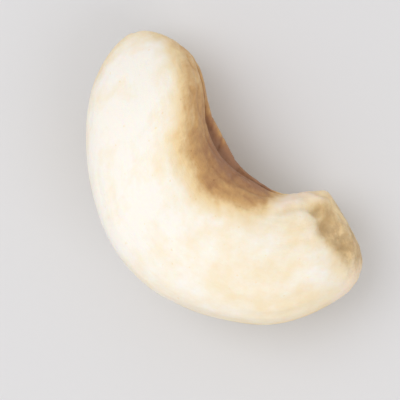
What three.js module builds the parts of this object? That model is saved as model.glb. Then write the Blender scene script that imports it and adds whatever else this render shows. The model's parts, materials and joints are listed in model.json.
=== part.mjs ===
// A whole roasted cashew kernel, lying on its flank as it comes to rest on a table.
//
// It is one grown piece: a thick crescent with a rounded left end and a blunt right end,
// where the small tip of the germ stands out at the inner corner. Its two halves meet in a
// fine seam that runs all the way round, along the back and through the hollow.
//
// Millimetres. +Z is up and the table is at Z = 0. +X runs along the crescent's longest
// extent, and the hollow opens towards +Y.
import * as THREE from "three";
import { mergeVertices } from "three/addons/utils/BufferGeometryUtils.js";

// The kernel's overall size, and how much its lowest points are flattened to carry it.
const LENGTH = 28;
const THICKNESS = 11.8;
const REST_FLAT = 0.1;

// The seam between the halves, a groove between slightly raised lips. In the hollow it
// opens into a crease, and the lower half's lip stands out past the upper half. at and
// spread say where along the kernel, as shares of its run from the left end to the right.
const SEAM = { depth: 0.22, width: 0.32, lipHeight: 0.06 };
const CREASE = { depth: 0.45, width: 0.75, at: 0.48, spread: 0.13 };
const LOWER_LIP = { height: 0.6, width: 0.9, at: 0.46, spread: 0.09 };

// The germ's tip, a nub on the seam at the right end's inner corner, and the dimples on top
// of that end.
const GERM_TIP = { place: new THREE.Vector3(7.5, 7.45, 5.0), height: 0.8, width: 1.3 };
const DIMPLES = [
  { place: new THREE.Vector3(7.15, 6.2, 8.3), depth: 0.35, width: 0.75 },
  { place: new THREE.Vector3(9.0, 5.7, 8.6), depth: 0.3, width: 0.7 },
  { place: new THREE.Vector3(10.8, 5.9, 7.6), depth: 0.25, width: 0.7 },
];

// Mesh density: points round a section, crowded towards the seams, and sections.
const AROUND = 60;
const CROWDING = 0.25;
const ALONG = 68;

// The crescent's edge seen from above, drawn for a kernel of this length: the points where
// the sections close at each end, and the edge between them round the back and through
// the hollow.
const DRAWN_LENGTH = 28;
const LEFT_END = [-13.1, 6.3];
const RIGHT_END = [10.7, 7.0];
const BACK = [
  [-13.8, 5.4],
  [-14.0, 3.6],
  [-13.6, 1.5],
  [-12.4, -0.9],
  [-9.8, -3.7],
  [-6.6, -5.9],
  [-3.2, -7.5],
  [0.2, -8.1],
  [3.8, -7.7],
  [7.8, -6.0],
  [11.3, -3.3],
  [13.4, 0.5],
  [14.0, 3.7],
  [13.4, 5.4],
  [12.3, 6.4],
];
const HOLLOW = [
  [-12.4, 6.8],
  [-11.0, 7.4],
  [-9.5, 7.6],
  [-7.8, 7.2],
  [-5.8, 6.1],
  [-4.0, 4.8],
  [-2.0, 4.05],
  [0.0, 3.9],
  [2.0, 4.2],
  [3.6, 4.6],
  [4.9, 5.4],
  [5.8, 6.5],
  [7.0, 7.3],
  [8.6, 7.45],
];

// A number that changes smoothly from the left end to the right, given at even stations.
function profile(values) {
  const stations = values.map((value, i) => new THREE.Vector3(i, value, 0));
  const curve = new THREE.CatmullRomCurve3(stations);
  return (along) => curve.getPoint(along).y;
}

// How thick each section is for its width, how far its thickest line lies towards the back
// and how square its shoulders are, as shares of half its width.
const plumpness = profile([1.1, 1.05, 1.02, 1.0, 0.97, 0.98, 1.02, 1.0, 0.95]);
const backward = profile([0.0, 0.06, 0.1, 0.2, 0.28, 0.2, 0.1, 0.04, 0.0]);
const squareness = profile([0.0, 0.03, 0.05, 0.04, 0.02, 0.02, 0.04, 0.03, 0.0]);

// How far each section rolls back on the table, in degrees, which lifts the hollow's seam,
// and how high above the table its middle lies. Both ends droop until they touch down.
const rollBack = profile([2, 4, 8, 12, 12, 10, 6, 4, 3]);
const middleHeight = profile([4.2, 4.1, 5.12, 5.95, 5.75, 5.8, 4.92, 4.1, 4.2]);

function edge(points) {
  const corners = [LEFT_END, ...points, RIGHT_END].map(
    ([x, y]) => new THREE.Vector3(x, y, 0).multiplyScalar(LENGTH / DRAWN_LENGTH),
  );
  const curve = new THREE.CatmullRomCurve3(corners, false, "centripetal");
  curve.arcLengthDivisions = 1000;
  return curve;
}

const backEdge = edge(BACK);
const hollowEdge = edge(HOLLOW);

// A soft bell: 1 at the middle, fading out over about two widths.
function bell(distance, width) {
  return Math.exp(-((distance / width) ** 2));
}

// How deep the seam is cut at a distance from its line.
function seamDepth(distance) {
  const lips = bell(Math.abs(distance) - 2 * SEAM.width, SEAM.width);
  return SEAM.depth * bell(distance, SEAM.width) - SEAM.lipHeight * lips;
}

// How deep the surface is cut near the seams. The distances run along the surface from each
// seam, and the one from the hollow's seam is negative on the lower half.
function cutDepth(along, fromHollowSeam, fromBackSeam) {
  const seam = seamDepth(fromHollowSeam) + seamDepth(fromBackSeam);
  const fading = Math.sqrt(Math.sin(Math.PI * along));
  const crease = bell(fromHollowSeam, CREASE.width) * bell(along - CREASE.at, CREASE.spread);
  const belowSeam = fromHollowSeam + LOWER_LIP.width;
  const lip = bell(belowSeam, LOWER_LIP.width) * bell(along - LOWER_LIP.at, LOWER_LIP.spread);
  return fading * seam + CREASE.depth * crease - LOWER_LIP.height * lip;
}

// The middle of a section, and the level direction from there to the hollow, as long as
// half the section is wide. along runs from the left end, 0, to the right end, 1.
function section(along) {
  const back = backEdge.getPointAt(along);
  const hollow = hollowEdge.getPointAt(along);
  const middle = back.clone().add(hollow).multiplyScalar(0.5);
  middle.z = middleHeight(along);
  return { middle, toHollow: hollow.sub(back).multiplyScalar(0.5) };
}

// A point of the crescent. around is 0 at the hollow's seam, a quarter turn on top and half
// a turn at the back's seam.
function crescentPoint(along, around) {
  const { middle, toHollow } = section(along);
  const half = toHollow.length();
  const shoulder = squareness(along);
  let out = (Math.cos(around) - shoulder * Math.cos(3 * around)) / (1 - shoulder);
  let up = (Math.sin(around) + shoulder * Math.sin(3 * around)) / (1 - shoulder);
  out -= backward(along) * Math.sin(around) ** 2;
  up *= plumpness(along);

  const fromHollowSeam = (around > Math.PI ? around - 2 * Math.PI : around) * half;
  const fromBackSeam = (around - Math.PI) * half;
  const reach = Math.hypot(out, up) * half;
  const cut = cutDepth(along, fromHollowSeam, fromBackSeam);
  const kept = reach > cut ? 1 - cut / reach : 1;

  const roll = THREE.MathUtils.degToRad(rollBack(along));
  const shift = kept * (out * Math.cos(roll) - up * Math.sin(roll));
  const lift = kept * half * (out * Math.sin(roll) + up * Math.cos(roll));
  const point = middle.clone().addScaledVector(toHollow, shift);
  point.z += lift;
  return withNubAndDimples(point, middle);
}

// Raises the germ's tip and presses in the dimples, along the line from a section's middle.
function withNubAndDimples(point, middle) {
  const outward = point.clone().sub(middle).normalize();
  let rise = GERM_TIP.height * bell(point.distanceTo(GERM_TIP.place), GERM_TIP.width);
  for (const { place, depth, width } of DIMPLES) {
    rise -= depth * bell(point.distanceTo(place), width);
  }
  return point.addScaledVector(outward, rise);
}

// A sphere's rows become the sections, and its poles the two ends.
function kernelGeometry() {
  const geometry = new THREE.SphereGeometry(1, AROUND, ALONG);
  const position = geometry.getAttribute("position");
  for (let row = 0; row <= ALONG; row++) {
    const atEnd = row === 0 || row === ALONG;
    for (let column = 0; column <= AROUND; column++) {
      const turn = atEnd ? 0 : (1 - (column % AROUND) / AROUND) * 2 * Math.PI;
      const around = (turn - CROWDING * Math.sin(2 * turn)) % (2 * Math.PI);
      const point = crescentPoint(row / ALONG, around);
      position.setXYZ(row * (AROUND + 1) + column, point.x, point.y, point.z);
    }
  }
  geometry.deleteAttribute("normal");
  geometry.deleteAttribute("uv");
  return mergeVertices(geometry);
}

// Stands the crescent on the table, centred and at its full thickness, and flattens what
// would reach below the table, so that three small flats carry it.
function settle(geometry) {
  geometry.computeBoundingBox();
  const { min, max } = geometry.boundingBox;
  geometry.translate(-(min.x + max.x) / 2, -(min.y + max.y) / 2, -min.z);
  geometry.scale(1, 1, (THICKNESS + REST_FLAT) / (max.z - min.z));
  geometry.translate(0, 0, -REST_FLAT);
  const position = geometry.getAttribute("position");
  for (let i = 0; i < position.count; i++) {
    position.setZ(i, Math.max(0, position.getZ(i)));
  }
  return geometry;
}

const roastedFlesh = new THREE.MeshStandardMaterial({
  name: "roasted_flesh",
  color: 0xf0e2c6,
  roughness: 0.5,
  metalness: 0,
});

const kernel = new THREE.Mesh(settle(kernelGeometry()), roastedFlesh);
kernel.name = "kernel";

const cashew = new THREE.Group();
cashew.add(kernel);

export default cashew;
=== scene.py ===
# %% [markdown]
# # A roasted cashew kernel
# A cashew kernel is one thick crescent, grown in two halves that meet in a fine seam. This
# lesson starts from the plain solid of a kernel. It turns a copy of the solid into a smooth
# and detailed surface, and gives that the look of roasted flesh: ivory on the outside, brown
# inside the hollow and dusky round the germ, where the colour is partly toasting and partly
# painted shade. Blender's lengths are metres, but the sizes on a kernel are easier to think
# of in millimetres, so MM stands for one millimetre.

# %% Load the solid kernel as the frame
import json
import math

import bpy
import numpy as np
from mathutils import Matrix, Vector, noise

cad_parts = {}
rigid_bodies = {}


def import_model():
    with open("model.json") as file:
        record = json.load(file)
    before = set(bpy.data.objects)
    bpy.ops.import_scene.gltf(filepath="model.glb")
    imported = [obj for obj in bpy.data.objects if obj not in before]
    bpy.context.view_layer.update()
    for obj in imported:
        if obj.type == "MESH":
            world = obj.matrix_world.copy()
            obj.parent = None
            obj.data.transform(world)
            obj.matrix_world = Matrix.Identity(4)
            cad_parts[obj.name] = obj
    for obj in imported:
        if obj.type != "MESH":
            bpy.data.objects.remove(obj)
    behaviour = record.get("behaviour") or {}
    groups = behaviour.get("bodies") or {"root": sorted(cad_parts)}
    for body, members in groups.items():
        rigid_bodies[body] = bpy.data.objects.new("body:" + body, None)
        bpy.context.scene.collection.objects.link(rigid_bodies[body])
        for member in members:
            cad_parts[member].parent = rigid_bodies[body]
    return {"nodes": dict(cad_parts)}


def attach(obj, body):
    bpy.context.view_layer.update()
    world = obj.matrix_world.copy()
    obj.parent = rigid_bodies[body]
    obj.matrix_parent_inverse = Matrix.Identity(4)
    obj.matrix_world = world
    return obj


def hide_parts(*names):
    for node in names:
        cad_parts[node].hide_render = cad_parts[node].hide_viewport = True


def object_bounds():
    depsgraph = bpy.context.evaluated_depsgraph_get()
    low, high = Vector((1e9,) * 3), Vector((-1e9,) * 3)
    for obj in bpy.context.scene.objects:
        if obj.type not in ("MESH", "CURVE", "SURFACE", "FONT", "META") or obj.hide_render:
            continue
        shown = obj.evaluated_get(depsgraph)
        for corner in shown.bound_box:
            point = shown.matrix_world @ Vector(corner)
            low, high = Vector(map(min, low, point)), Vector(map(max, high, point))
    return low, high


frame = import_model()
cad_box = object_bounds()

MM = 0.001
low, high = cad_box
print("The solid kernel measures", [round(side / MM, 2) for side in high - low], "mm")

# %% [markdown]
# ## The camera
# The kernel was photographed from straight above, turned so that its right end points down
# and to the right. The camera does the same: it looks straight down and is rolled about its
# line of sight. A long lens from far off keeps the view as flat as in the photograph. The
# camera is closer than it was there, so that the kernel fills the picture.

# %% Look straight down on the kernel
CAMERA_ROLL = math.radians(46)
CAMERA_LENS = 300
CAMERA_SENSOR = 36
SEEN_WIDTH = 33 * MM
NEAREST_SEEN = 10 * MM

middle = (low + high) / 2
distance = SEEN_WIDTH * CAMERA_LENS / CAMERA_SENSOR
bpy.ops.object.camera_add(
    location=(middle.x, middle.y, middle.z + distance), rotation=(0, 0, CAMERA_ROLL)
)
camera = bpy.context.object
camera.name = "camera"
camera.data.lens = CAMERA_LENS
camera.data.sensor_width = CAMERA_SENSOR
camera.data.clip_start = NEAREST_SEEN
bpy.context.scene.camera = camera
print("The camera is", round(distance / MM), "mm above the kernel")

# %% [markdown]
# ## A clean copy of the solid
# The solid's mesh is loose triangles, so it has no loops to select, and a Subdivision
# Surface would tear it open. A voxel remesh would close it, but would blur the seam. So the
# copy's points are merged, and its triangles become quads again. They lie in rings from one
# end to the other. Counting the rings outwards from the left end tells each ring's edges
# from the diagonals between two rings, and the diagonals are dissolved.

# %% Merge the copy's points
MERGE_DISTANCE = 0.001 * MM

node = frame["nodes"]["kernel"]
kernel = bpy.data.objects.new("roasted_kernel", node.data.copy())
bpy.context.scene.collection.objects.link(kernel)
mesh = kernel.data
bpy.ops.object.select_all(action="DESELECT")
kernel.select_set(True)
bpy.context.view_layer.objects.active = kernel

bpy.ops.object.mode_set(mode="EDIT")
bpy.ops.mesh.select_mode(type="EDGE")
bpy.ops.mesh.select_all(action="SELECT")
bpy.ops.mesh.remove_doubles(threshold=MERGE_DISTANCE)
bpy.ops.mesh.customdata_custom_splitnormals_clear()
bpy.ops.mesh.select_all(action="DESELECT")
bpy.ops.object.mode_set(mode="OBJECT")
print("The copy has", len(mesh.vertices), "points")

# %% Count the rings from the left end to the right
# The two ends are the only points where more than this many edges meet.
SPOKES = 20

neighbours = [[] for _ in mesh.vertices]
for a, b in mesh.edge_keys:
    neighbours[a].append(b)
    neighbours[b].append(a)
ends = [i for i, near in enumerate(neighbours) if len(near) > SPOKES]
ends.sort(key=lambda i: mesh.vertices[i].co.x)
ring_of = {ends[0]: 0}
ring = [ends[0]]
while ring:
    next_ring = sorted({n for i in ring for n in neighbours[i]} - ring_of.keys())
    for i in next_ring:
        ring_of[i] = ring_of[ring[0]] + 1
    ring = next_ring
last_ring = ring_of[ends[1]]
numbers = mesh.attributes.new("ring", "FLOAT", "POINT")
numbers.data.foreach_set("value", [float(ring_of[i]) for i in range(len(mesh.vertices))])
print("Rings from end to end:", last_ring + 1)

# %% Dissolve the diagonals between the rings
# Of the two triangles on a diagonal, one has a single corner on the ring nearer the left
# end. The diagonal runs from that corner to the one before it. The fans at the two ends have
# no diagonals.
edge_at = {key: i for i, key in enumerate(mesh.edge_keys)}
for face in mesh.polygons:
    corners = list(face.vertices)
    rings = [ring_of[i] for i in corners]
    if rings.count(min(rings)) == 1 and ends[0] not in corners:
        alone = rings.index(min(rings))
        diagonal = tuple(sorted((corners[alone], corners[alone - 1])))
        mesh.edges[edge_at[diagonal]].select = True
bpy.ops.object.mode_set(mode="EDIT")
bpy.ops.mesh.dissolve_edges(use_verts=False)
bpy.ops.object.mode_set(mode="OBJECT")
print("Quads:", sum(len(face.vertices) == 4 for face in mesh.polygons), "of", len(mesh.polygons))

# %% [markdown]
# ## The seam's two loops
# The halves meet along the back and through the hollow, and on the copy each stretch of that
# seam is one edge loop. An edge is found by its place, and the loop is selected from it, as
# a click with Alt held down would. Nearly every detail of a kernel follows its seam, so the
# points of both loops are kept. The loops are also given a crease, so that the seam stays a
# sharp valley when the surface is subdivided. The fans of thin triangles at the ends come
# off first, because a loop stops at the rim of a hole.

# %% Helpers for selecting and for reading points


def deselect_all():
    """Deselects all of the copy, and leaves edges as what is selected next."""
    bpy.ops.object.mode_set(mode="EDIT")
    bpy.ops.mesh.select_mode(type="EDGE")
    bpy.ops.mesh.select_all(action="DESELECT")
    bpy.ops.object.mode_set(mode="OBJECT")


def read_points():
    """The place of every point, in millimetres."""
    found = np.empty(len(mesh.vertices) * 3, np.float32)
    mesh.vertices.foreach_get("co", found)
    return found.reshape(-1, 3) / MM


def read_rings():
    """The number of the ring that every point lies on."""
    found = np.empty(len(mesh.vertices), np.float32)
    mesh.attributes["ring"].data.foreach_get("value", found)
    return found


# %% Take the fans off both ends
# The first ring that is kept, counted from either end.
CAP_RING = 2

left_end, right_end = read_points()[ends]
deselect_all()
for i in ends:
    mesh.vertices[i].select = True
bpy.ops.object.mode_set(mode="EDIT")
bpy.ops.mesh.select_mode(type="VERT")
for _ in range(CAP_RING - 1):
    bpy.ops.mesh.select_more()
bpy.ops.mesh.delete(type="VERT")
bpy.ops.object.mode_set(mode="OBJECT")
print("The fans' middles were at", left_end.round(1), "and", right_end.round(1), "mm")

# %% Select and crease the seam's loops
SEAM_IN_HOLLOW = (-0.4, 3.9, 6.9)
SEAM_ON_BACK = (1.3, -7.4, 4.9)
SEAM_CREASE = 0.6


def seam_loop(place):
    """Creases the loop that passes a place in millimetres, and returns its points in order."""
    deselect_all()
    points = read_points()
    rings = read_rings()
    pairs = np.array(mesh.edge_keys)
    gap = np.linalg.norm(points[pairs].mean(axis=1) - place, axis=1)
    gap[rings[pairs[:, 0]] == rings[pairs[:, 1]]] = np.inf
    mesh.edges[int(gap.argmin())].select = True
    bpy.ops.object.mode_set(mode="EDIT")
    bpy.ops.mesh.loop_multi_select(ring=False)
    bpy.ops.transform.edge_crease(value=SEAM_CREASE)
    bpy.ops.object.mode_set(mode="OBJECT")
    loop = np.array([v.index for v in mesh.vertices if v.select])
    loop = points[loop[np.argsort(rings[loop])]]
    print("A loop of", len(loop), "points, from", loop[0].round(1), "to", loop[-1].round(1))
    return loop


hollow_seam = seam_loop(SEAM_IN_HOLLOW)
back_seam = seam_loop(SEAM_ON_BACK)

# %% [markdown]
# ## New caps on the ends
# A fan of sixty thin triangles would show as a star when it is subdivided and lit. Grid Fill
# closes each hole with even quads instead, and a Shrinkwrap modifier lays them on the solid,
# so that the ends stay as round as they were. Once the surface is subdivided, the caps are
# smoothed a little, because the solid's facets still show in them.

# %% Helpers for painting on the copy
# Points that are painted more faintly than this are left out of a group.
FAINTEST = 0.002


def paint(name, painted):
    """Stores how strongly each point is painted as a vertex group, for a modifier to follow."""
    group = kernel.vertex_groups.new(name=name)
    for i in np.flatnonzero(painted > FAINTEST):
        group.add([int(i)], float(painted[i]), "REPLACE")


def relax(name, passes):
    """Smooths what is painted into what lies round it."""
    smoothing = kernel.modifiers.new(name, "SMOOTH")
    smoothing.vertex_group = name
    smoothing.iterations = passes
    bpy.ops.object.modifier_apply(modifier=name)


# %% Fill both holes with a grid
CAP_SPAN = 15

old_count = len(mesh.vertices)
for side in (-1, 1):
    deselect_all()
    bpy.ops.object.mode_set(mode="EDIT")
    bpy.ops.mesh.select_non_manifold()
    bpy.ops.object.mode_set(mode="OBJECT")
    for edge in mesh.edges:
        if mesh.vertices[edge.vertices[0]].co.x * side < 0:
            edge.select = False
    bpy.ops.object.mode_set(mode="EDIT")
    bpy.ops.mesh.fill_grid(span=CAP_SPAN)
    bpy.ops.object.mode_set(mode="OBJECT")

new = np.arange(len(mesh.vertices)) >= old_count
paint("cap", new.astype(float))
wrap = kernel.modifiers.new("wrap", "SHRINKWRAP")
wrap.target = node
wrap.vertex_group = "cap"
bpy.ops.object.modifier_apply(modifier="wrap")
print("Points in the new caps:", int(new.sum()))

# %% Number the rings inside the caps
# A new point has no ring of its own. Its number runs evenly from the rim's to the end's.
points = read_points()
rings = read_rings()
for end, end_ring, side in ((left_end, 0, -1), (right_end, last_ring, 1)):
    inside = new & (points[:, 0] * side > 0)
    rim = ~new & (rings == abs(end_ring - CAP_RING))
    reach = np.linalg.norm(points[rim] - end, axis=1).mean()
    share = np.linalg.norm(points[inside] - end, axis=1) / reach
    rings[inside] = np.abs(end_ring - CAP_RING * np.minimum(share, 1))
mesh.attributes["ring"].data.foreach_set("value", rings)
print("Ring numbers run from", rings.min().round(2), "to", rings.max().round(2))

# %% Subdivide the surface
SUBDIVISIONS = 2
CAP_PASSES = 30

smooth = kernel.modifiers.new("smooth", "SUBSURF")
smooth.levels = SUBDIVISIONS
smooth.render_levels = SUBDIVISIONS
bpy.ops.object.modifier_apply(modifier="smooth")
relax("cap", CAP_PASSES)
bpy.ops.object.shade_smooth()
print("The fine surface has", len(mesh.polygons), "quads")

# %% [markdown]
# ## Where each point lies on the kernel
# A kernel's furrows, lips and colours follow its bend. So every point also gets a place in a
# straightened kernel: how far along it lies, how far out from the middle of its section
# towards the hollow, and how far above the sheet in which the two halves meet. The rings and
# the seam's two loops give all three, because a section's middle is half way between them.

# %% Find the middle line between the seam's two loops
kept_rings = np.arange(CAP_RING, last_ring - CAP_RING + 1)
ring_numbers = np.concatenate(([0], kept_rings, [last_ring]))
hollow_seam = np.vstack((left_end, hollow_seam, right_end))
back_seam = np.vstack((left_end, back_seam, right_end))
centres = (hollow_seam + back_seam) / 2
forwards = np.gradient(centres, ring_numbers, axis=0)
lengths = np.linalg.norm(np.diff(centres, axis=0), axis=1)
travelled = np.concatenate(([0], np.cumsum(lengths)))
total = travelled[-1]
print("The kernel is", round(total, 1), "mm long when it is straightened")


def at_rings(rings, line):
    """The place on a line of one point for each ring, for rings that may be fractions."""
    return np.column_stack([np.interp(rings, ring_numbers, line[:, k]) for k in range(3)])


def unit(vectors):
    """The same directions, each of length 1."""
    return vectors / np.linalg.norm(vectors, axis=1, keepdims=True)


# %% Give every point its place in the straightened kernel
points = read_points().astype(float)
rings = read_rings().astype(float)
sections = np.clip(rings, CAP_RING, last_ring - CAP_RING)
across_section = at_rings(sections, hollow_seam - back_seam)
half_width = np.linalg.norm(across_section, axis=1) / 2
outwards = unit(across_section)
upwards = unit(np.cross(at_rings(sections, forwards), outwards))
from_centre = points - at_rings(sections, centres)
along = np.interp(rings, ring_numbers, travelled) / total
across = np.sum(from_centre * outwards, axis=1) / half_width
above = np.sum(from_centre * upwards, axis=1)
straight = np.column_stack((along * total, across * half_width, above))
print("The sections are up to", round(2 * half_width.max(), 1), "mm wide")

# %% [markdown]
# ## Relief by painted displacement
# Each detail of the surface is painted as a vertex group, from 0 where the surface stays to
# 1 where it moves most, and a Displace modifier then presses in or raises what is painted.
# That could be sculpted by hand. Painting it from each point's place on the kernel gives the
# same detail every time, and the depth of each one is a single number.

# %% Helpers for painting soft shapes


def bell(gap, width):
    """1 where the gap is nothing, fading out over about two widths."""
    return np.exp(-((gap / width) ** 2))


def rise(value, start, end):
    """0 before start and 1 past end, with a smooth step between them."""
    share = np.clip((value - start) / (end - start), 0, 1)
    return share * share * (3 - 2 * share)


def cloud(places, size, seed):
    """A soft random value from -1 to 1 for each place, with lumps of about that size."""
    shifted = places / size + seed
    return np.array([noise.noise(Vector(place)) for place in shifted])


# %% A helper for painting along a line
# Real rims and troughs aren't drawn with a ruler, so the points are shifted unevenly before
# they are measured against a line, which makes the painted line waver.
WAVER = 0.35
WAVER_SIZE = 1.5
LINE_FADE = 0.3
# The heights above the seam's sheet between which a line fades in.
UPPER_HALF = (-0.2, 0.3)

waver = np.column_stack([cloud(points, WAVER_SIZE, seed) for seed in (3.1, 8.4)])
wavering = points[:, :2] + WAVER * waver
print("Lines waver by up to", round(WAVER * float(np.abs(waver).max()), 2), "mm each way")


def drawn(line, width, fade=LINE_FADE):
    """How strongly a line, drawn from above on the upper half, marks each point, up to 1.

    At each end the line fades out over a share of its length.
    """
    line = np.array(line, float)
    gap = np.full(len(points), np.inf)
    run = np.zeros(len(points))
    length = 0
    for start, end in zip(line, line[1:]):
        reach = np.linalg.norm(end - start)
        share = np.clip((wavering - start) @ (end - start) / reach**2, 0, 1)
        offset = wavering - start - np.outer(share, end - start)
        nearer = np.linalg.norm(offset, axis=1) < gap
        gap[nearer] = np.linalg.norm(offset, axis=1)[nearer]
        run[nearer] = length + share[nearer] * reach
        length += reach
    progress = run / length
    faded = rise(progress, 0, fade) * rise(1 - progress, 0, fade)
    return bell(gap, width) * faded * rise(above, *UPPER_HALF)


# %% A helper for moving what is painted


def displace(name, painted, height):
    """Moves the painted points out along their normals by a height in millimetres."""
    paint(name, painted)
    push = kernel.modifiers.new(name, "DISPLACE")
    push.vertex_group = name
    push.mid_level = 0
    push.strength = height * MM
    bpy.ops.object.modifier_apply(modifier=name)
    print(name, "moved", int((painted > 0.5).sum()), "points by about", height, "mm")


# %% [markdown]
# ## Broad swellings
# The flesh shrank as it dried, and unevenly, so its surface rises and sinks a little over
# several millimetres. What is broad comes first here, and what is fine and steep comes last:
# a point moves along its normal, and the walls of a fine valley would cross each other if
# the ground under them were raised afterwards. The underside keeps still where it rests.

# %% Raise broad swellings
SWELLING_SIZE = 4.5
SWELLING_HEIGHT = 0.2
STILL_BELOW = 0.2
FREE_ABOVE = 1.2

free = rise(points[:, 2], STILL_BELOW, FREE_ABOVE)
swelling = 0.5 + 0.5 * cloud(points, SWELLING_SIZE, seed=7.7)
displace("level", free, -SWELLING_HEIGHT / 2)
displace("swellings", swelling * free, SWELLING_HEIGHT)

# %% [markdown]
# ## The germ's end
# The right end is where the germ sits and where the kernel hung in its shell. A thin rim
# stands up along its inner corner, with a groove behind it that ends in a small pit. From the
# pit a shallow uneven trough runs round the end between a low outer rim and a slight bulge.

# %% Shape the rims, the groove, the trough and the bulge
RIM = ((4.1, 3.3), (4.7, 4.4), (5.2, 5.5), (5.9, 6.6), (6.9, 7.4), (7.7, 7.6))
GROOVE = ((4.9, 3.6), (5.5, 4.7), (6.2, 5.8), (7.1, 6.35), (7.8, 6.6))
TROUGH = ((6.4, 6.6), (7.2, 6.4), (8.1, 6.15), (9.3, 6.1), (10.6, 6.3), (11.6, 5.9), (12.5, 4.9))
OUTER_RIM = ((7.8, 7.3), (9.6, 7.0), (11.1, 6.6), (12.3, 5.9), (13.1, 4.8))
BULGE = ((8.6, 4.4), (9.7, 3.6), (10.7, 2.6), (11.4, 1.4))

# Each form's line from above, its width, and how high it stands. Below 0 it is pressed in.
GERM_END = {
    "rim": (RIM, 0.42, 0.24),
    "groove": (GROOVE, 0.4, -0.2),
    "trough": (TROUGH, 0.9, -0.24),
    "outer_rim": (OUTER_RIM, 0.5, 0.14),
    "bulge": (BULGE, 1.5, 0.16),
}

form = {}
for name, (line, width, height) in GERM_END.items():
    form[name] = drawn(line, width)
    displace(name, form[name], height)

# %% Press small pits into the trough
# Each pit's place from above, its width and its depth.
PITS = (((7.2, 6.35), 0.36, 0.22), ((8.8, 6.1), 0.8, 0.08), ((10.75, 6.3), 0.6, 0.14))

pitted = np.zeros(len(points))
for number, (spot, width, depth) in enumerate(PITS):
    pit = bell(np.linalg.norm(wavering - spot, axis=1), width) * (above > 0)
    displace(f"pit_{number}", pit, -depth)
    pitted = np.maximum(pitted, pit)

# %% [markdown]
# ## The fold in the hollow
# At the bottom of the hollow the flesh is folded: the lower half's lip bulges up past the
# seam, and the seam opens behind it into a short deep crease.

# %% Raise the fold's lip and open the crease behind it
CREASE_DEPTH = 0.32
CREASE_WIDTH = 0.34
CREASE_HEIGHT = 0.3
CREASE_AT = 0.45
CREASE_SPREAD = 0.11
FOLD_LIP_HEIGHT = 0.16
FOLD_LIP_WIDTH = 0.45

folded = bell(along - CREASE_AT, CREASE_SPREAD) * (across > 0)
from_crease = above - CREASE_HEIGHT * folded
fold_lip = bell(from_crease + 2 * FOLD_LIP_WIDTH, FOLD_LIP_WIDTH) * folded
displace("fold_lip", fold_lip, FOLD_LIP_HEIGHT)
displace("crease", bell(from_crease, CREASE_WIDTH) * folded, -CREASE_DEPTH)

# %% [markdown]
# ## The seam
# The halves of a kernel don't quite close. Between them is a fine valley that wanders a
# little, open in some stretches, with a rounded lip on each side, and nearly shut in others.
# The shut stretches are smoothed, as with a smoothing brush, and the others are deepened.

# %% Where the seam is open, and where its valley wanders
# How open the seam is where the noise is nought, and how much the noise changes that.
OPEN_AT_NOUGHT = 0.55
OPEN_CONTRAST = 1.1
OPEN_SIZE = 3.5
WANDER = 0.05
WANDER_SIZE = 1.9
SEAM_REACH = 0.45

# The noise takes no notice of the height, so both sides of the seam agree.
by_seam = straight * (1, 1, 0)
openness = np.clip(OPEN_AT_NOUGHT + OPEN_CONTRAST * cloud(by_seam, OPEN_SIZE, seed=4.2), 0, 1)
from_valley = above - WANDER * cloud(by_seam, WANDER_SIZE, seed=9.1)
half_open = float((openness[np.abs(above) < SEAM_REACH] > 0.5).mean())
print("The seam is at least half open at", round(100 * half_open), "% of its points")

# %% Close the seam in places and open a fine valley in others
CLOSING_PASSES = 14
LIP_HEIGHT = 0.06
LIP_WIDTH = 0.22
VALLEY_DEPTH = 0.15
VALLEY_WIDTH = 0.12
VALLEY_WHERE_SHUT = 0.15

paint("closed", bell(above, SEAM_REACH) * (1 - openness) * (1 - folded))
relax("closed", CLOSING_PASSES)
lips = bell(np.abs(from_valley) - 2 * LIP_WIDTH, LIP_WIDTH) * openness
valley_share = VALLEY_WHERE_SHUT + (1 - VALLEY_WHERE_SHUT) * openness
displace("lips", lips, LIP_HEIGHT)
displace("valley", bell(from_valley, VALLEY_WIDTH) * valley_share, -VALLEY_DEPTH)

# %% [markdown]
# ## Furrows and wrinkles
# Fine furrows run along the kernel, and there are sharper wrinkles in the hollow and at the
# germ's end. Both are noise. It is stretched along the straightened kernel, so that they
# bend with it, and a wrinkle is where the noise passes nought.

# %% Press in fine furrows
FURROW_STRETCH = (0.14, 1, 1)
FURROW_SIZE = 0.9
FURROW_EDGES = (0.05, 0.55)
FURROW_DEPTH = 0.07

furrows = rise(cloud(straight * FURROW_STRETCH, FURROW_SIZE, seed=1.3), *FURROW_EDGES)
displace("furrows", furrows * free, -FURROW_DEPTH)

# %% Press in wrinkles
WRINKLE_STRETCH = (0.45, 1, 1)
WRINKLE_SIZE = 1.3
WRINKLE_EDGES = (0.8, 1)
WRINKLE_DEPTH = 0.05
WRINKLES_ELSEWHERE = 0.15
# The soft steps into the hollow and onto the germ's end run between these places.
HOLLOW_ACROSS = (0.3, 0.8)
HOLLOW_ALONG = (0.02, 0.2)
GERM_X = (6.5, 9.5)
GERM_Y = (2.5, 5.5)

in_hollow = rise(across, *HOLLOW_ACROSS) * rise(along, *HOLLOW_ALONG)
by_germ = rise(points[:, 0], *GERM_X) * rise(points[:, 1], *GERM_Y)
near_nought = 1 - np.abs(cloud(straight * WRINKLE_STRETCH, WRINKLE_SIZE, seed=5.6))
wrinkled = np.clip(WRINKLES_ELSEWHERE + in_hollow + by_germ, 0, 1)
wrinkles = rise(near_nought, *WRINKLE_EDGES) * free * wrinkled
displace("wrinkles", wrinkles, -WRINKLE_DEPTH)

# %% Clear away the painted groups
bpy.ops.object.vertex_group_remove(all=True)
print("The finished surface has", len(mesh.vertices), "points")

# %% [markdown]
# ## What the finish follows
# The colours need to know the same things as the relief, so these are stored on the points
# as attributes: the straightened place, and how strongly each point belongs to the toasted
# wall of the hollow, the germ's end, the seam, a pit, a rim or a flank. Besides toasting, the
# finish paints shade into the wall, the end, the seam and the flanks, and highlights onto the
# rims and the bulge. Toasting has no sharp edge on a kernel, so the patches get a ragged one,
# by adding noise before their soft step.

# %% A helper for storing an attribute


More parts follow.
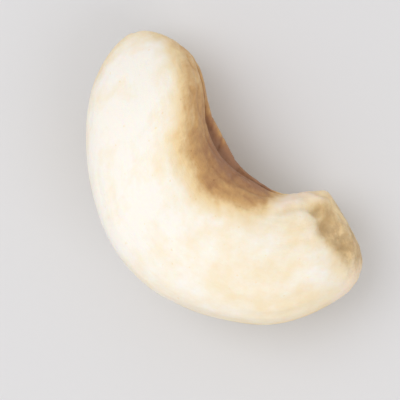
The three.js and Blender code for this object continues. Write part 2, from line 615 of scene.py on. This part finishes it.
def store(name, values):
    """Stores a number or a vector on each point, for a material to read."""
    kind = "FLOAT_VECTOR" if values.ndim > 1 else "FLOAT"
    attribute = mesh.attributes.new(name, kind, "POINT")
    field = "vector" if values.ndim > 1 else "value"
    attribute.data.foreach_set(field, values.astype(np.float32).ravel())
    print(name, "runs from", round(float(values.min()), 2), "to", round(float(values.max()), 2))


store("straight", straight)

# %% Noise for the patches' ragged edges
RAGGED_STRETCH = (0.6, 1, 1)
RAGGED_SIZE = 2.2
RAGGED_FINE_SIZE = 0.8
RAGGED_FINE_SHARE = 0.5

ragged = cloud(straight * RAGGED_STRETCH, RAGGED_SIZE, seed=2.9)
ragged = ragged + RAGGED_FINE_SHARE * cloud(straight, RAGGED_FINE_SIZE, seed=6.3)
print("The noise runs from", round(float(ragged.min()), 2), "to", round(float(ragged.max()), 2))

# %% The toasted wall of the hollow, with painted shade
# Where the wall's upper edge lies across the kernel, at stations along it from end to end.
WALL_STATIONS = (0.0, 0.1, 0.27, 0.42, 0.53, 0.67, 0.78, 1.0)
WALL_EDGES = (0.8, 0.68, 0.56, 0.42, 0.42, 0.58, 0.85, 1.2)
WALL_FADE = (-0.16, 0.3)
WALL_STARTS = (0.0, 0.1)
WALL_ENDS = 0.76
WALL_ENDS_FADE = (-0.06, 0.06)
# The lower half's wall ends this much sooner, and as much softer.
LOWER_SHARE = 0.08
LOWER_HALF = (0, 2)
RAGGED_EDGE = 0.08
RAGGED_END = 0.04
# The bend is darker than the arms, partly toasted and partly in painted shade.
BEND_AT = 0.5
BEND_SPREAD = 0.15
BEND_SHARE = 0.12

lower = LOWER_SHARE * rise(-above, *LOWER_HALF)
wall_edge = np.interp(along, WALL_STATIONS, WALL_EDGES)
to_end = WALL_ENDS - lower - along + RAGGED_END * ragged
fade_start, fade_end = WALL_ENDS_FADE
# Painted shade: the wall of the hollow turns away from the light, and its tan stands partly for
# that shade and partly for toasting.
wall = rise(across - wall_edge + RAGGED_EDGE * ragged, *WALL_FADE) * rise(along, *WALL_STARTS)
wall = wall * rise(to_end, fade_start, fade_end + lower)
wall = wall * (1 + BEND_SHARE * bell(along - BEND_AT, BEND_SPREAD))
store("wall", wall)

# %% The darkest flesh, beside the seam in the hollow, toasted and in painted shade
NEAR_SEAM_REACH = 3
NEAR_SEAM_STARTS = (0.15, 0.5)
# The fold's lip, which stands up, gets less of this painted shade than the crease above it.
LIP_PALER = 0.55
LIP_BELOW_CREASE = (0.15, 0.9)
# The darkest painted shade is just past the bend.
DARKEST_AT = 0.53
DARKEST_SPREAD = 0.13
DARKEST_SHARE = 0.35

# Painted shade: the flesh deep in the hollow beside the seam is darkened, over some toasting.
near_seam = bell(above, NEAR_SEAM_REACH) * (across > 0) * rise(along, *NEAR_SEAM_STARTS) * wall
near_seam = near_seam * (1 - LIP_PALER * rise(-from_crease, *LIP_BELOW_CREASE) * folded)
near_seam = near_seam * (1 + DARKEST_SHARE * bell(along - DARKEST_AT, DARKEST_SPREAD))
store("near_seam", near_seam)

# %% The patches at the germ's end, toasted and in painted shade
END_CENTRE = (9.3, 7.4, 5.0)
END_REACH = 4.2
END_FADE = (-0.9, 0.9)
END_RAGGED = 0.7
# The patch is only a quarter as strong on the side towards the hollow.
END_LEAST = 0.25
END_FULL_X = (6.0, 7.8)
# The dusk along the trough is partly a darker tint and partly painted shade, where the end slopes
# away from the light.
DUSK_LINE = ((6.3, 6.9), (8.2, 6.2), (9.4, 6.3), (10.8, 6.5), (12.2, 6.0), (13.2, 4.6), (13.7, 3.2))
DUSK_WIDTH = 1.35
DUSK_FADE = 0.4
OUTER_EDGE = ((11.9, 6.6), (13.0, 5.6), (13.7, 4.2), (13.9, 2.8), (13.4, 1.0))
OUTER_EDGE_WIDTH = 0.5
OUTER_EDGE_SHARE = 0.8

# Painted shade: the germ's end turns away from the light, so its darker patch is partly that shade
# and partly toasting.
from_germ = np.linalg.norm(points - END_CENTRE, axis=1)
end_face = rise(END_REACH - from_germ - END_RAGGED * ragged, *END_FADE)
end_face = end_face * (END_LEAST + (1 - END_LEAST) * rise(points[:, 0], *END_FULL_X))
outer_edge = OUTER_EDGE_SHARE * drawn(OUTER_EDGE, OUTER_EDGE_WIDTH)
store("end_face", end_face)
store("dusky", drawn(DUSK_LINE, DUSK_WIDTH, DUSK_FADE))
# Painted highlight: the thin rims are made paler and pink, as where light catches a ridge.
store("flushed", np.maximum(form["rim"], outer_edge))
store("pitted", pitted)

# %% Dark seam lines with painted shade, wrinkles, and the flanks' painted shade and highlight
CRACK_WIDTH = 0.11
CRACK_WHERE_SHUT = 0.3
CREASE_SHADE_WIDTH = 0.25
GROOVE_SHADE = 0.4
# The flesh is creamier near the seam, towards the right end and beside the wall's first
# half, partly a creamy tint and partly painted shade where the kernel turns from the light,
# and paler on the bulge, as a painted highlight.
FLANK_REACH = 2.4
FLANK_WHERE_OPEN = 0.5
RIGHT_SHARE = 0.42
RIGHT_ALONG = (0.35, 0.8)
HALO_SHARE = 0.32
HALO_ACROSS = (-0.6, 0.1)
HALO_ENDS = 0.45
HALO_FADE = (-0.15, 0.15)
BULGE_HIGHLIGHT = 0.22
BULGE_HIGHLIGHT_WIDTH = 1.3

# Painted shade, over some toasting: the seam's valley, the crease and the groove are darkened where
# they are pressed in.
cracks = bell(from_valley, CRACK_WIDTH) * (CRACK_WHERE_SHUT + (1 - CRACK_WHERE_SHUT) * openness)
cracks = np.maximum(cracks, bell(from_crease, CREASE_SHADE_WIDTH) * folded)
cracks = np.maximum(cracks, GROOVE_SHADE * form["groove"])
halo = rise(across - wall_edge, *HALO_ACROSS) * rise(HALO_ENDS - along, *HALO_FADE)
# Painted shade on the flanks and towards the right end, and a painted highlight on the bulge.
flank = bell(above, FLANK_REACH) * (1 - FLANK_WHERE_OPEN * openness)
flank = flank + RIGHT_SHARE * rise(along, *RIGHT_ALONG) + HALO_SHARE * halo
flank = flank - BULGE_HIGHLIGHT * drawn(BULGE, BULGE_HIGHLIGHT_WIDTH)
store("cracks", cracks)
store("wrinkles", wrinkles)
store("flank", flank * (1 - wall) * (1 - end_face))

# %% [markdown]
# ## Writing a finish as a sum
# A material is a network of nodes. Written out node by node it is hard to read, so one small
# class wraps a node's output and turns Python's +, - and * into Math nodes.

# %% A wire between two nodes


class Wire:
    """The output of a node. Sums on wires add Math nodes, and node() adds any other."""

    tree = None

    def __init__(self, socket):
        self.socket = socket

    @classmethod
    def node(cls, kind, settings=None, sockets=None, output=0):
        """Adds a node with its settings first, then the values or wires of its sockets."""
        made = cls.tree.nodes.new(kind)
        for name, value in (settings or {}).items():
            if name == "stops":
                cls.set_stops(made.color_ramp, value)
            else:
                setattr(made, name, value)
        for name, value in (sockets or {}).items():
            if isinstance(value, Wire):
                cls.tree.links.new(value.socket, made.inputs[name])
            else:
                made.inputs[name].default_value = value
        return cls(made.outputs[output])

    @staticmethod
    def set_stops(ramp, stops):
        while len(ramp.elements) < len(stops):
            ramp.elements.new(1)
        for element, (place, colour) in zip(ramp.elements, stops):
            element.position = place
            element.color = colour

    def maths(self, operation, first, second):
        return self.node("ShaderNodeMath", {"operation": operation}, {0: first, 1: second})

    def __add__(self, other):
        return self.maths("ADD", self, other)

    def __radd__(self, other):
        return self.maths("ADD", other, self)

    def __sub__(self, other):
        return self.maths("SUBTRACT", self, other)

    def __rsub__(self, other):
        return self.maths("SUBTRACT", other, self)

    def __mul__(self, other):
        return self.maths("MULTIPLY", self, other)

    def __rmul__(self, other):
        return self.maths("MULTIPLY", other, self)

    def step(self, start, end):
        """0 before start and 1 past end, with a smooth step between them."""
        return self.node(
            "ShaderNodeMapRange",
            {"interpolation_type": "SMOOTHSTEP"},
            {"Value": self, "From Min": start, "From Max": end},
        )

    def feed(self, shader, name):
        """Links this wire to a shader's socket."""
        self.tree.links.new(self.socket, shader.inputs[name])


# %% Helpers for patterns and colours


def stored(name, output="Fac"):
    """What store() has put on the points under that name."""
    return Wire.node("ShaderNodeAttribute", {"attribute_name": name}, output=output)


def stretched(place, scale):
    """A place that is scaled in each direction, for a pattern that is longer one way."""
    return Wire.node("ShaderNodeVectorMath", {"operation": "MULTIPLY"}, {0: place, 1: scale})


def lumps(place, scale, detail=3, roughness=0.5):
    """Soft noise from 0 to 1. The lumps get smaller as the scale grows."""
    return Wire.node(
        "ShaderNodeTexNoise",
        {"noise_dimensions": "3D"},
        {"Vector": place, "Scale": scale, "Detail": detail, "Roughness": roughness},
    )


def mixed(amount, under, over):
    """The colour under at an amount of 0, and the colour over at 1."""
    return Wire.node(
        "ShaderNodeMix", {"data_type": "RGBA"}, {0: amount, "A": under, "B": over}, output="Result"
    )


def colour(red, green, blue):
    """A colour as seen on a screen, from 0 to 255, in the linear values that nodes use."""
    shares = [share / 255 for share in (red, green, blue)]
    linear = [((s + 0.055) / 1.055) ** 2.4 if s > 0.04045 else s / 12.92 for s in shares]
    return (*linear, 1)


# %% [markdown]
# ## The flesh
# Roasting takes the flesh from ivory through cream, straw and tan to umber. So the finish
# works out a single number, the toast, and a colour ramp turns it into a colour. That number
# also carries painted shade, where the hollow, the germ's end, the seam's lines and the flanks
# are darkened, and painted highlights, where the rims and the bulge are lightened. The painted
# attributes say where, and noise makes it uneven. The noise reads the straightened place, so
# that its lumps and fibres bend with the kernel. A few tints that aren't on that scale are
# mixed over it: a pale pink painted highlight on the thin rims, a greyish dusk at the germ's
# end that is partly painted shade, olive over the end and, as painted shade, in its pits, and
# mauve painted shade deep in the hollow.

# %% Start the material with what it reads
SPECK_EDGES = (0.78, 0.88)

flesh = bpy.data.materials.new("roasted_flesh")
flesh.use_nodes = True
Wire.tree = flesh.node_tree
nodes = flesh.node_tree.nodes
shader = nodes["Principled BSDF"]

place = stored("straight", "Vector")
wall = stored("wall")
near_seam = stored("near_seam")
end_face = stored("end_face")
flank = stored("flank")
cracks = stored("cracks")
wrinkles = stored("wrinkles")
dusky = stored("dusky")
pitted = stored("pitted")
flushed = stored("flushed")
mottle = lumps(place, scale=0.4, detail=4, roughness=0.55)
speckle = lumps(place, scale=1.7, detail=4, roughness=0.6)
specks = lumps(place, scale=3.5, detail=0).step(*SPECK_EDGES)
print("The material has", len(nodes), "nodes")

# %% How strongly the flesh is toasted, with painted shade and highlights added
# How much the toast, with its painted shade and highlights, gains from each attribute and pattern.
TOAST_AND_PAINTED_LIGHT_FROM = (
    (wall, 0.63),
    (near_seam, 0.34),
    (end_face, 0.4),
    (flank, 0.38),
    (cracks, 0.3),
    (dusky, 0.16),
    (flushed, -0.2),
    (specks, 0.14),
)
MOTTLE_SHARE = 0.5
SPECKLE_SHARE = 0.12
# Speckle shows more on the wall and at the germ's end, and there the wrinkles' valleys are darkened
# as painted shade.
SPECKLE_ON_TOASTED = 0.18
WRINKLES_ON_TOASTED = 0.06

toast_and_painted_light = (mottle - 0.5) * MOTTLE_SHARE
for source, share in TOAST_AND_PAINTED_LIGHT_FROM:
    toast_and_painted_light = toast_and_painted_light + source * share
toasted_and_shaded = wall + end_face
toast_and_painted_light = toast_and_painted_light + (speckle - 0.5) * (SPECKLE_SHARE + toasted_and_shaded * SPECKLE_ON_TOASTED)
toast_and_painted_light = toast_and_painted_light + wrinkles * toasted_and_shaded * WRINKLES_ON_TOASTED
print("With the toast it has", len(nodes), "nodes")

# %% From toast and painted light to colour
IVORY = colour(250, 246, 239)
CREAM = colour(245, 231, 203)
STRAW = colour(238, 213, 166)
TAN = colour(206, 165, 111)
BROWN = colour(158, 112, 74)
UMBER = colour(126, 84, 54)
TONE_RAMP = ((0.0, IVORY), (0.16, CREAM), (0.36, STRAW), (0.56, TAN), (0.8, BROWN), (1.0, UMBER))
TONE_RAMP_STRENGTH = 0.8

tone = Wire.node(
    "ShaderNodeValToRGB", {"stops": TONE_RAMP}, {"Fac": toast_and_painted_light * TONE_RAMP_STRENGTH}, output="Color"
)
print("The ramp has", len(TONE_RAMP), "stops")

# %% A painted highlight on the rims, and a dusk at the germ's end that is partly painted shade
# A pale pink painted highlight for the thin rims.
RIM_HIGHLIGHT = colour(246, 224, 203)
RIM_HIGHLIGHT_STRENGTH = 0.7
# A greyish dusk, partly a darker tint and partly painted shade.
DUSK = colour(190, 162, 122)
DUSK_EDGES = (0.1, 1.1)
DUSK_SPECKLE = 0.9
DUSK_STRENGTH = 0.15
BLOTCH_EDGES = (0.36, 0.6)
BLOTCH_STRENGTH = 0.6

tone = mixed(flushed * (1 - cracks) * RIM_HIGHLIGHT_STRENGTH, tone, RIM_HIGHLIGHT)
blotches = lumps(place, scale=1.1, detail=3, roughness=0.6).step(*BLOTCH_EDGES)
uneven_dusk = (dusky + (speckle - 0.5) * DUSK_SPECKLE).step(*DUSK_EDGES)
tone = mixed(uneven_dusk * (DUSK_STRENGTH + blotches * BLOTCH_STRENGTH), tone, DUSK)
print("With flush and dusk it has", len(nodes), "nodes")

# %% Olive at the germ's end, painted shade in its pits, and mauve painted shade in the hollow
OLIVE = colour(180, 150, 104)
OLIVE_EDGES = (0.4, 0.65)
OLIVE_STRENGTH = 0.4
MAUVE = colour(178, 136, 108)
MAUVE_EDGES = (0.42, 0.6)
MAUVE_STRENGTH = 0.4

# Olive is a mottled tint over the germ's end, and painted shade in its pits.
olive = end_face * mottle.step(*OLIVE_EDGES) + pitted
tone = mixed(olive * OLIVE_STRENGTH, tone, OLIVE)
# Painted shade: mauve deep in the hollow, beside the seam.
tone = mixed(near_seam * mottle.step(*MAUVE_EDGES) * MAUVE_STRENGTH, tone, MAUVE)
tone.feed(shader, "Base Color")
print("With all its colours it has", len(nodes), "nodes")

# %% [markdown]
# ## Gloss, depth and grain
# Oil from the roasting gives the flesh a satin sheen. Light enters it a little way and comes
# out again warmer, which Subsurface gives, over about a millimetre. The finest fibres and
# pores are too small for the mesh, so a Bump node draws them.

# %% Gloss and depth
SPECULAR = 0.35
GLOW = 0.3
GLOW_COLOURS = (1.0, 0.6, 0.35)
GLOW_DEPTH = 0.9 * MM
ROUGHNESS = 0.5
ROUGHNESS_VARIES = 0.3

shader.inputs["Specular IOR Level"].default_value = SPECULAR
shader.inputs["Subsurface Weight"].default_value = GLOW
shader.inputs["Subsurface Radius"].default_value = GLOW_COLOURS
shader.inputs["Subsurface Scale"].default_value = GLOW_DEPTH
rough = ROUGHNESS + (speckle - 0.5) * ROUGHNESS_VARIES
rough.feed(shader, "Roughness")
print("Light comes out again over about", round(GLOW_DEPTH / MM, 1), "mm")

# %% Fibres and pores
FIBRE_STRETCH = (0.4, 2.2, 2.2)
FIBRE_SHARE = 0.8
PORE_SHARE = 0.5
BUMP_STRENGTH = 0.6
BUMP_HEIGHT = 0.08 * MM

fibres = lumps(stretched(place, FIBRE_STRETCH), scale=2.2, detail=5, roughness=0.6)
pores = lumps(place, scale=7, detail=4, roughness=0.6)
grain = fibres * FIBRE_SHARE + pores * PORE_SHARE
bump = Wire.node(
    "ShaderNodeBump",
    sockets={"Strength": BUMP_STRENGTH, "Distance": BUMP_HEIGHT, "Height": grain},
)
bump.feed(shader, "Normal")
mesh.materials.clear()
mesh.materials.append(flesh)
print("The whole material has", len(nodes), "nodes")

# %% [markdown]
# ## The floor and the light
# Pale food is best shown on a plain pale floor, which also throws light back under it. The
# light is soft, as from a cloudy sky by a window: a bright world all round, one large lamp
# beyond the left end, on the side of the back, and a weaker one beyond the right end.

# %% The floor
FLOOR_SIZE = 1000 * MM
FLOOR_COLOUR = (0.7, 0.71, 0.74, 1)
FLOOR_ROUGHNESS = 0.9

bpy.ops.mesh.primitive_plane_add(size=FLOOR_SIZE)
floor = bpy.context.object
floor.name = "floor"
paper = bpy.data.materials.new("paper")
paper.use_nodes = True
paper_shader = paper.node_tree.nodes["Principled BSDF"]
paper_shader.inputs["Base Color"].default_value = FLOOR_COLOUR
paper_shader.inputs["Roughness"].default_value = FLOOR_ROUGHNESS
floor.data.materials.append(paper)
print("The floor is", round(FLOOR_SIZE / MM), "mm wide")

# %% The light all round
WORLD_COLOUR = (1, 0.965, 0.925, 1)
WORLD_STRENGTH = 0.73

world = bpy.data.worlds.new("studio")
bpy.context.scene.world = world
world.use_nodes = True
background = world.node_tree.nodes["Background"]
background.inputs["Color"].default_value = WORLD_COLOUR
background.inputs["Strength"].default_value = WORLD_STRENGTH
print("The world shines with a strength of", WORLD_STRENGTH)

# %% Two soft lamps
LAMP_SIZE = 400 * MM
KEY_TURN = math.radians(211)
KEY_RISE = math.radians(60)
KEY_AWAY = 600 * MM
KEY_POWER = 1.12
FILL_PLACE = Vector((420, -20, 420)) * MM
FILL_POWER = 0.56


def add_lamp(name, place, power):
    """Adds a square soft lamp that shines at the kernel."""
    bpy.ops.object.light_add(type="AREA", location=place)
    lamp = bpy.context.object
    lamp.name = name
    lamp.data.size = LAMP_SIZE
    lamp.data.energy = power
    lamp.rotation_euler = (place - middle).to_track_quat("Z", "Y").to_euler()
    print("The", name, "is", round((place - middle).length / MM), "mm from the kernel")


towards_key = Vector(
    (
        math.cos(KEY_TURN) * math.cos(KEY_RISE),
        math.sin(KEY_TURN) * math.cos(KEY_RISE),
        math.sin(KEY_RISE),
    )
)
add_lamp("key", middle + towards_key * KEY_AWAY, KEY_POWER)
add_lamp("fill", FILL_PLACE, FILL_POWER)
bpy.context.scene.view_settings.view_transform = "Standard"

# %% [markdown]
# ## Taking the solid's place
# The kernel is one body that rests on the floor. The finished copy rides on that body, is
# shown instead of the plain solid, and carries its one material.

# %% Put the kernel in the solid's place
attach(kernel, "root")
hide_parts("kernel")
print("The copy is shown, with", len(mesh.polygons), "quads and", len(mesh.materials), "material")
